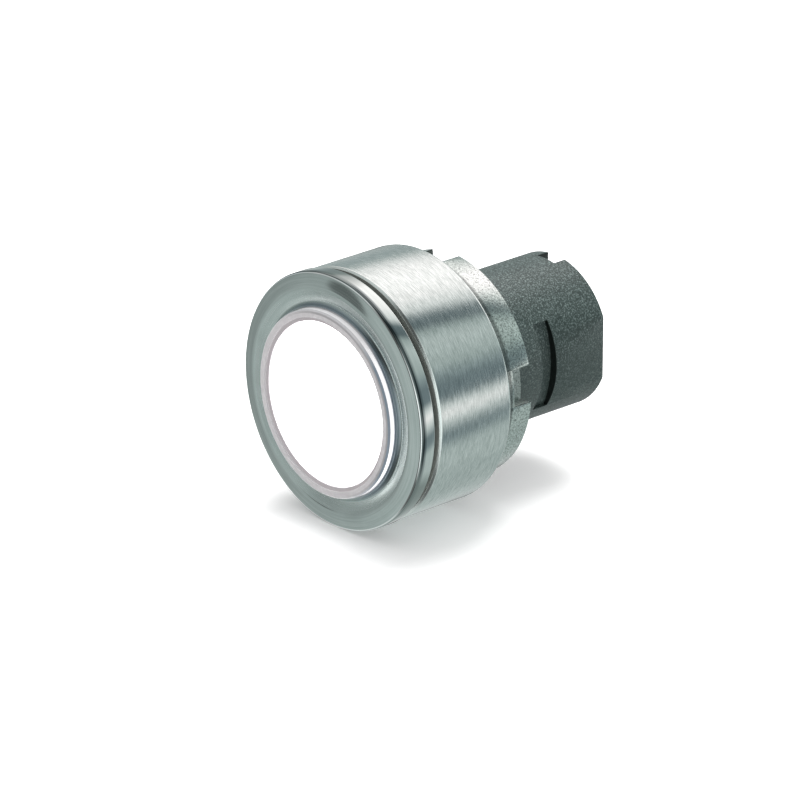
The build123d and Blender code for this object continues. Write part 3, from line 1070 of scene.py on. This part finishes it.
def build_plunger():
    """Plunger with its two legs, and the ring and washer on it."""
    size = sizes()
    low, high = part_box("plunger")
    legs_outer = high.x
    tube_end = front("bush_clip") + 2 * MM
    groove_start, groove_end, clip = extent("plunger_clip")
    groove = size.plunger - size.clip_groove
    tube = [
        (size.light_way, low.y, EDGE),
        (size.plunger, low.y, EDGE),
        (size.plunger, groove_start, 0),
        (groove, groove_start, 0),
        (groove, groove_end, 0),
        (size.plunger, groove_end, 0),
        (size.plunger, tube_end, EDGE),
        (size.light_way, tube_end, EDGE),
    ]
    obj = loose_object("plunger_tube", turned(tube, SMALL_STEPS))
    wall = ring_outline(size.light_way, legs_outer, tube_end - 3 * EDGE, high.y, 0)
    legs = loose_object("plunger_legs", turned(wall, SMALL_STEPS))
    near = (-legs_outer - SPARE, tube_end - SPARE, -size.leg_width / 2)
    far = (legs_outer + SPARE, high.y + SPARE, size.leg_width / 2)
    cut(legs, [box_cutter(near, far)], "INTERSECT")
    cut(obj, [taken_back(legs)], "UNION")
    soften(obj, EDGE)
    dress(obj, white_plastic, "button", "plunger")
    clip_piece("plunger_clip", groove, clip, EDGE, 4 * MM, 90, "button")
    inner = size.plunger + size.seat_gap
    ring_piece("spring_seat", "washer", inner, EDGE, drawn_steel, "button")


def build_spring():
    """Return spring, built at one length; the real one shortens when the button is pressed."""
    size = sizes()
    low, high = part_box("return_spring")
    wire = size.spring_wire / 2
    steps = size.spring_turns * COIL_STEPS
    rise = (high.y - low.y - 2 * wire) / steps
    bm = bmesh.new()
    bmesh.ops.create_circle(bm, cap_ends=True, segments=WIRE_STEPS, radius=wire)
    move(bm, (high.x - wire, low.y + wire, 0))
    sweep(bm, WHOLE_TURN * size.spring_turns, steps, rise)
    obj = loose_object("return_spring_coil", bm)
    dress(obj, drawn_steel, "housing", "return_spring", 60)
    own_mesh(obj)


def build_guides():
    """Wiper seal, its washer, the rear guide bush and its retaining ring."""
    size = sizes()
    start, end = extent("wiper_seal")[:2]
    lip = 0.5 * MM
    bore = size.plunger + 0.03 * MM
    wiper = [
        (bore, start + lip, EDGE / 2),
        (size.web_bore + lip, start, EDGE),
        (size.seal_pocket, start, EDGE),
        (size.seal_pocket, end, EDGE),
        (size.web_bore + lip, end, EDGE),
        (bore, end - lip, EDGE / 2),
    ]
    turned_piece("wiper_seal", "ring", wiper, rubber, "housing", SMALL_STEPS)
    inner = size.plunger + 0.6 * MM
    ring_piece("seal_washer", "ring", inner, 0.08 * MM, drawn_steel, "housing")
    inner = size.guide_bore
    ring_piece("guide_bush", "ring", inner, 2 * EDGE, white_plastic, "housing")
    clip = reach("bush_clip")
    clip_piece("bush_clip", 2 * size.body_bore - clip, clip, EDGE, 4 * MM, 90, "housing")


# Degrees round the axis from +X towards +Z, and the level of the light that comes from there.
RING_LIGHT = [
    (-180, 0.54), (-160, 0.62), (-140, 0.80), (-124, 0.69), (-100, 0.57), (-76, 0.58), (-60, 0.68),
    (-45, 0.66), (-37, 0.33), (-29, 0.30), (-20, 0.85), (-12, 1.25), (-6, 0.90), (1, 0.26),
    (13, 0.26), (21, 0.40), (29, 0.58), (50, 0.76), (59, 0.58), (65, 0.20), (74, 0.24),
    (82, 1.05), (96, 1.35), (115, 1.58), (132, 1.42), (146, 1.15), (154, 0.55), (166, 0.47),
]


def lamp_colour(level):
    """Neutral where the studio is bright, bluish where it is dark."""
    darkness = min(1.0, max(0.0, (0.55 - level) / 0.3))
    brightness = min(1.0, max(0.0, (level - 0.6) / 0.7))
    red = 0.92 - 0.09 * darkness + 0.19 * brightness
    blue = 0.99 + 0.10 * darkness + 0.02 * brightness
    return (level * red / 2, level / 2, level * blue / 2, 1)


def flag(nodes, direction, towards, degrees, left):
    """A round card that takes light away: 1 beside it and this much in its middle."""
    places = (direction, Vector(towards).normalized())
    near = nodes.add("ShaderNodeVectorMath", places, operation="DOT_PRODUCT").outputs["Value"]
    radius = math.radians(degrees)
    return nodes.spread(near, math.cos(radius), math.cos(0.7 * radius), 1.0, left)


def mirrored_studio(nodes):
    """What polished surfaces reflect: strips of light round the axis, and a screen in front."""
    direction = nodes.coordinate("Generated")
    x, y, z = nodes.parts(direction)
    turned_by = nodes.maths("MULTIPLY_ADD", nodes.maths("ARCTAN2", z, x), 1 / WHOLE_TURN, 0.5)
    ramp = nodes.add("ShaderNodeValToRGB", (turned_by,))
    stops = ramp.color_ramp.elements
    stops.remove(stops[-1])
    for number, (degrees, level) in enumerate(RING_LIGHT):
        place = degrees / 360 + 0.5
        stop = stops[0] if number == 0 else stops.new(place)
        stop.position = place
        stop.color = lamp_colour(level)
    past_screen = nodes.maths(
        "MAXIMUM", nodes.spread(x, -0.16, 0.06, 1.0, 0.20), nodes.spread(x, 0.38, 0.62, 0.0, 1.7)
    )
    over_it = nodes.product(nodes.spread(z, 0.12, 0.25), nodes.spread(y, -0.55, -0.70))
    level = nodes.product(
        nodes.spread(x, -0.88, -0.40, 0.39, 0.62),
        past_screen,
        nodes.spread(over_it, 0.0, 1.0, 1.0, 0.6),
        flag(nodes, direction, (-0.648, -0.755, -0.103), 5.6, 0.36),
    )
    half = nodes.product(level, 0.5)
    screen = nodes.vector(nodes.product(level, 0.47), half, half)
    shade = nodes.product(
        flag(nodes, direction, (-0.62, 0.71, -0.35), 13, 0.2), nodes.spread(y, 0.84, 0.94, 1.0, 1.5)
    )
    strips = nodes.shaded(ramp.outputs[0], shade)
    return nodes.blend(nodes.spread(y, -0.02, -0.20), strips, screen)


def soft_sky(nodes):
    """What lights the matt surfaces: brighter from above, behind and the right."""
    x, y, z = nodes.parts(nodes.coordinate("Generated"))
    slant = nodes.maths("MULTIPLY_ADD", x, 0.25, nodes.maths("MULTIPLY_ADD", y, 0.6, z))
    level = nodes.spread(slant, -0.35, 1.0, 0.03, 0.58)
    return nodes.vector(level, level, level)


def build_world():
    """Studio light: one look for the camera, one for reflections and one for matt surfaces."""
    world = bpy.data.worlds.new("studio")
    bpy.context.scene.world = world
    world.use_nodes = True
    nodes = NodeTree(world.node_tree)
    rays = nodes.add("ShaderNodeLightPath")
    light = nodes.blend(rays.outputs["Is Diffuse Ray"], mirrored_studio(nodes), soft_sky(nodes))
    light = nodes.blend(rays.outputs["Is Camera Ray"], light, (0.48, 0.48, 0.48))
    background = nodes.add("ShaderNodeBackground", {"Color": light, "Strength": 2.0})
    nodes.add("ShaderNodeOutputWorld", {"Surface": background.outputs[0]})


def build_floor():
    """Wide pale floor under the flange."""
    bm = bmesh.new()
    bmesh.ops.create_grid(bm, x_segments=8, y_segments=8, size=4)
    move(bm, (0, 0, CAD_BOX[0].z))
    floor = loose_object("studio_floor", bm)
    floor.data.materials.append(finish_of(floor_paper))
    floor.visible_glossy = False


def placed(name, data, place, aim):
    """A lamp or a camera in the scene, which looks at a point."""
    obj = bpy.data.objects.new(name, data)
    bpy.context.scene.collection.objects.link(obj)
    obj.location = place
    obj.rotation_euler = (aim - obj.location).to_track_quat("-Z", "Y").to_euler()
    return obj


def build_key_light():
    """A square soft light over the rear of the object."""
    light = bpy.data.lights.new("key_light", "AREA")
    light.size = 0.6
    light.energy = 9.0
    middle = Vector((0, 15 * MM, 0))
    placed("key_light", light, (-0.20, 0.30, 0.80), middle).visible_glossy = False


def build_camera():
    """Camera at the viewing angle, aimed a little beside the flange."""
    stage = bpy.context.scene.head_stage
    flange_middle = Vector((0, front("bezel") + sizes().ridge_rise, 0))
    right = Vector((math.cos(stage.azimuth), math.sin(stage.azimuth), 0))
    level = math.cos(stage.elevation)
    back = Vector((right.y * level, -right.x * level, math.sin(stage.elevation)))
    up = back.cross(right)
    aim = flange_middle + right * stage.aim_right + up * stage.aim_up
    camera = bpy.data.cameras.new("camera")
    camera.lens = stage.focal_length
    camera.clip_start = 10 * MM
    place = flange_middle + back * stage.distance
    bpy.context.scene.camera = placed("camera", camera, place, aim)


class PieceOperator:
    """What every operator of this add-on shares."""

    bl_options = {"REGISTER", "UNDO"}
    builders = ()

    def execute(self, context):
        for build in self.builders:
            build()
        return {"FINISHED"}


class BUTTON_OT_bezel(PieceOperator, bpy.types.Operator):
    """Build the bezel with its thread and the gasket"""

    bl_idname = "push_button.bezel"
    bl_label = "Bezel and gasket"
    builders = (build_bezel, build_neck_thread, build_gasket)


class BUTTON_OT_sleeve(PieceOperator, bpy.types.Operator):
    """Build the brushed clamping sleeve"""

    bl_idname = "push_button.sleeve"
    bl_label = "Clamping sleeve"
    builders = (build_sleeve,)


class BUTTON_OT_nut(PieceOperator, bpy.types.Operator):
    """Build the slotted ring nut"""

    bl_idname = "push_button.nut"
    bl_label = "Ring nut"
    builders = (build_nut,)


class BUTTON_OT_rear_body(PieceOperator, bpy.types.Operator):
    """Build the moulded rear body with its seal, ring and pin"""

    bl_idname = "push_button.rear_body"
    bl_label = "Rear body"
    builders = (build_rear_body, build_body_rings)


class BUTTON_OT_lens(PieceOperator, bpy.types.Operator):
    """Build the clear cap, the lit disc and their carrier"""

    bl_idname = "push_button.lens"
    bl_label = "Lens"
    builders = (build_lens,)


class BUTTON_OT_plunger(PieceOperator, bpy.types.Operator):
    """Build the plunger, its ring and its washer"""

    bl_idname = "push_button.plunger"
    bl_label = "Plunger"
    builders = (build_plunger,)


class BUTTON_OT_spring(PieceOperator, bpy.types.Operator):
    """Build the return spring"""

    bl_idname = "push_button.spring"
    bl_label = "Return spring"
    builders = (build_spring,)


class BUTTON_OT_guides(PieceOperator, bpy.types.Operator):
    """Build the wiper seal and the guides of the plunger"""

    bl_idname = "push_button.guides"
    bl_label = "Seal and guides"
    builders = (build_guides,)


class BUTTON_OT_stage(bpy.types.Operator):
    """Build the floor, the light and the camera"""

    bl_idname = "push_button.stage"
    bl_label = "Stage"
    bl_options = {"REGISTER", "UNDO"}

    def execute(self, context):
        build_world()
        build_floor()
        build_key_light()
        build_camera()
        context.scene.view_settings.view_transform = "Standard"
        return {"FINISHED"}


OPERATORS = (
    BUTTON_OT_bezel,
    BUTTON_OT_sleeve,
    BUTTON_OT_nut,
    BUTTON_OT_rear_body,
    BUTTON_OT_lens,
    BUTTON_OT_plunger,
    BUTTON_OT_spring,
    BUTTON_OT_guides,
    BUTTON_OT_stage,
)


class BUTTON_PT_sidebar(bpy.types.Panel):
    """Lists the pieces of the push-button head"""

    bl_idname = "BUTTON_PT_sidebar"
    bl_label = "Push-button head"
    bl_space_type = "VIEW_3D"
    bl_region_type = "UI"
    bl_category = "Push button"

    def draw(self, context):
        for operator in OPERATORS:
            self.layout.operator(operator.bl_idname)
        for group in (context.scene.head_sizes, context.scene.head_finishes, context.scene.head_stage):
            box = self.layout.box()
            for name in group.__annotations__:
                box.prop(group, name)


GROUPS = {"head_sizes": HeadSizes, "head_finishes": Finishes, "head_stage": StageSettings}


def register():
    """Makes the add-on's classes and settings known."""
    for group in GROUPS.values():
        bpy.utils.register_class(group)
    for name, group in GROUPS.items():
        setattr(bpy.types.Scene, name, PointerProperty(type=group))
    for operator in OPERATORS:
        bpy.utils.register_class(operator)
    bpy.utils.register_class(BUTTON_PT_sidebar)


def unregister():
    """Takes them away again."""
    bpy.utils.unregister_class(BUTTON_PT_sidebar)
    for operator in reversed(OPERATORS):
        bpy.utils.unregister_class(operator)
    for name, group in GROUPS.items():
        delattr(bpy.types.Scene, name)
        bpy.utils.unregister_class(group)


def main():
    """Builds every piece and the stage."""
    register()
    for operator in OPERATORS:
        category, name = operator.bl_idname.split(".")
        getattr(getattr(bpy.ops, category), name)()


if __name__ == "__main__":
    main()
